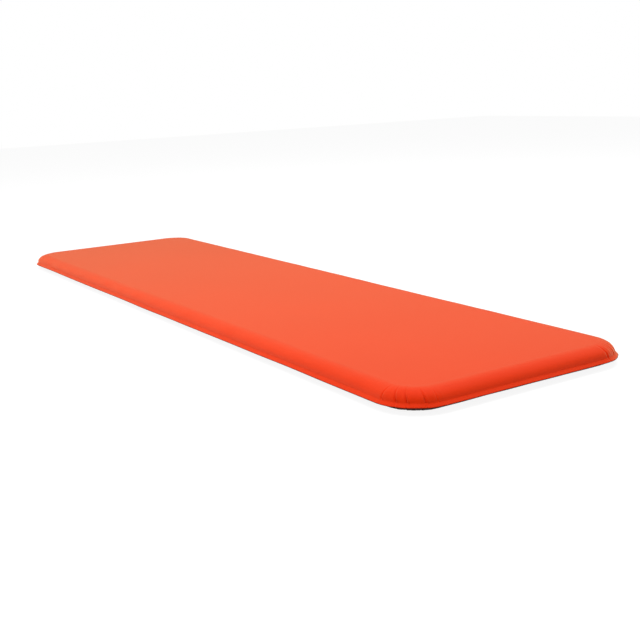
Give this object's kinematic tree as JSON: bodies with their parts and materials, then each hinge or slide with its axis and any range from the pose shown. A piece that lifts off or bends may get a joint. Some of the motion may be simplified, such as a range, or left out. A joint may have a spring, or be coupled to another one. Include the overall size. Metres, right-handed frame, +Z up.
{
  "type": "self-inflating sleeping pad",
  "caption": "Flat self-inflating foam sleeping mat with welded edge, rounded corners and flush valves on its underside.",
  "frame": {"origin": "middle of the underside, on the ground", "axes": "+X along the length, the valves are near the -X end; +Y across the width; +Z up, out of the lying surface"},
  "size_m": [1.83, 0.51, 0.038],
  "materials": {
    "top_cloth": "satin coated polyester, orange",
    "base_cloth": "matt coated polyester, charcoal",
    "foam": "open-cell polyurethane foam, cream",
    "valve_plastic": "moulded, fine satin",
    "lid_plastic": "moulded, fine satin",
    "strap": "flexible moulding",
    "seal": "smooth",
    "guard_mesh": "moulded, natural grey",
    "silicone": "translucent, smooth"
  },
  "bodies": {
    "root": {"top_fabric": "top_cloth", "bottom_fabric": "base_cloth", "foam_core": "foam", "inflate_valve_body": "valve_plastic", "inflate_lid_strap": "strap", "inflate_foam_guard": "guard_mesh", "flap_retainer": "guard_mesh", "deflate_valve_body": "valve_plastic", "deflate_lid_strap": "strap", "deflate_foam_guard": "guard_mesh"},
    "inflate_lid": {"inflate_valve_lid": "lid_plastic", "inflate_lid_seal": "seal"},
    "deflate_lid": {"deflate_valve_lid": "lid_plastic", "deflate_lid_seal": "seal"},
    "flap": {"check_flap": "silicone"}
  },
  "joints": [
    {"name": "inflate_lid_hinge", "type": "hinge", "parent": "root", "child": "inflate_lid", "pos_m": [-0.7727, 0.125, 0.0002], "axis": [0, -1, 0], "range_deg": [0, 165], "deforming": ["inflate_lid_strap"]},
    {"name": "deflate_lid_hinge", "type": "hinge", "parent": "root", "child": "deflate_lid", "pos_m": [-0.7727, -0.125, 0.0002], "axis": [0, -1, 0], "range_deg": [0, 165], "deforming": ["deflate_lid_strap"]},
    {"name": "check_flap_hinge", "type": "hinge", "parent": "root", "child": "flap", "pos_m": [-0.784, 0.125, 0.0087], "axis": [0, 1, 0], "range_deg": [0, 18]}
  ]
}
